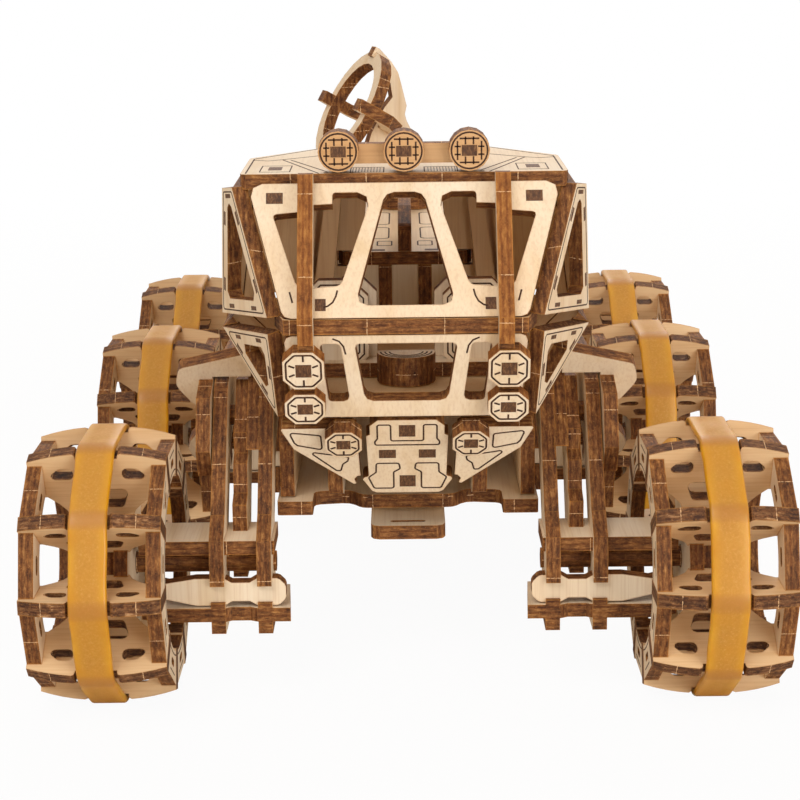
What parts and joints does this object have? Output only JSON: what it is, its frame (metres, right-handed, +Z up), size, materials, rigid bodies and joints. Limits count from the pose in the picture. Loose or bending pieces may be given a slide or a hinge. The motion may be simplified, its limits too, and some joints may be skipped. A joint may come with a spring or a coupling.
{
  "type": "planetary rover model kit",
  "caption": "Planetary rover model of interlocking laser-cut plywood plates: cab, lamps, dish, rocker suspension and slatted wheels with rubber bands.",
  "frame": {"origin": "on the floor under the middle of the model", "axes": "+Z up, +Y to the rear, +X to the right as seen from the front"},
  "size_m": [0.205, 0.307, 0.1698],
  "materials": {
    "plywood": "laser-cut birch plywood",
    "band": "matte amber rubber"
  },
  "bodies": {
    "body": {"bogie_left": "plywood", "bogie_right": "plywood", "cab_corner_lower_left": "plywood", "cab_corner_lower_right": "plywood", "cab_corner_upper_left": "plywood", "cab_corner_upper_right": "plywood", "cab_floor": "plywood", "cab_ledge": "plywood", "cab_lower_front": "plywood", "cab_quarter_lower_left": "plywood", "cab_quarter_lower_right": "plywood", "cab_quarter_upper_left": "plywood", "cab_quarter_upper_right": "plywood", "cab_rear": "plywood", "cab_roof": "plywood", "cab_side_lower_left": "plywood", "cab_side_lower_right": "plywood", "cab_side_upper_left": "plywood", "cab_side_upper_right": "plywood", "cab_windscreen": "plywood", "chassis_floor": "plywood", "chassis_side_left": "plywood", "chassis_side_right": "plywood", "chin_plate": "plywood", "chin_wing_left": "plywood", "chin_wing_right": "plywood", "console": "plywood", "deck": "plywood", "deck_spine": "plywood", "hull_rear": "plywood", "hull_side_left": "plywood", "hull_side_right": "plywood", "lamp_bar": "plywood", "lamp_post_left": "plywood", "lamp_post_right": "plywood", "mast": "plywood", "motor_frame": "plywood", "rocker_left": "plywood", "rocker_right": "plywood", "seats": "plywood", "step_plate": "plywood"},
    "front_right_wheel": {"wheel_front_right": "plywood", "band_front_right": "band"},
    "front_left_wheel": {"wheel_front_left": "plywood", "band_front_left": "band"},
    "middle_right_wheel": {"wheel_middle_right": "plywood", "band_middle_right": "band"},
    "middle_left_wheel": {"wheel_middle_left": "plywood", "band_middle_left": "band"},
    "rear_right_wheel": {"wheel_rear_right": "plywood", "band_rear_right": "band"},
    "rear_left_wheel": {"wheel_rear_left": "plywood", "band_rear_left": "band"},
    "antenna": {"dish": "plywood"}
  },
  "joints": [
    {"name": "front_right_spin", "type": "hinge", "parent": "body", "child": "front_right_wheel", "pos_m": [0.0837, -0.1145, 0.03757], "axis": [1, 0, 0], "continuous": true},
    {"name": "front_left_spin", "type": "hinge", "parent": "body", "child": "front_left_wheel", "pos_m": [-0.0837, -0.1145, 0.03757], "axis": [1, 0, 0], "continuous": true},
    {"name": "middle_right_spin", "type": "hinge", "parent": "body", "child": "middle_right_wheel", "pos_m": [0.0837, 0.0175, 0.03757], "axis": [1, 0, 0], "continuous": true},
    {"name": "middle_left_spin", "type": "hinge", "parent": "body", "child": "middle_left_wheel", "pos_m": [-0.0837, 0.0175, 0.03757], "axis": [1, 0, 0], "continuous": true},
    {"name": "rear_right_spin", "type": "hinge", "parent": "body", "child": "rear_right_wheel", "pos_m": [0.0837, 0.1145, 0.03757], "axis": [1, 0, 0], "continuous": true},
    {"name": "rear_left_spin", "type": "hinge", "parent": "body", "child": "rear_left_wheel", "pos_m": [-0.0837, 0.1145, 0.03757], "axis": [1, 0, 0], "continuous": true},
    {"name": "antenna_turn", "type": "hinge", "parent": "body", "child": "antenna", "pos_m": [0, 0.036, 0.13787], "axis": [0, 0, 1], "range_deg": [-170, 170]}
  ]
}
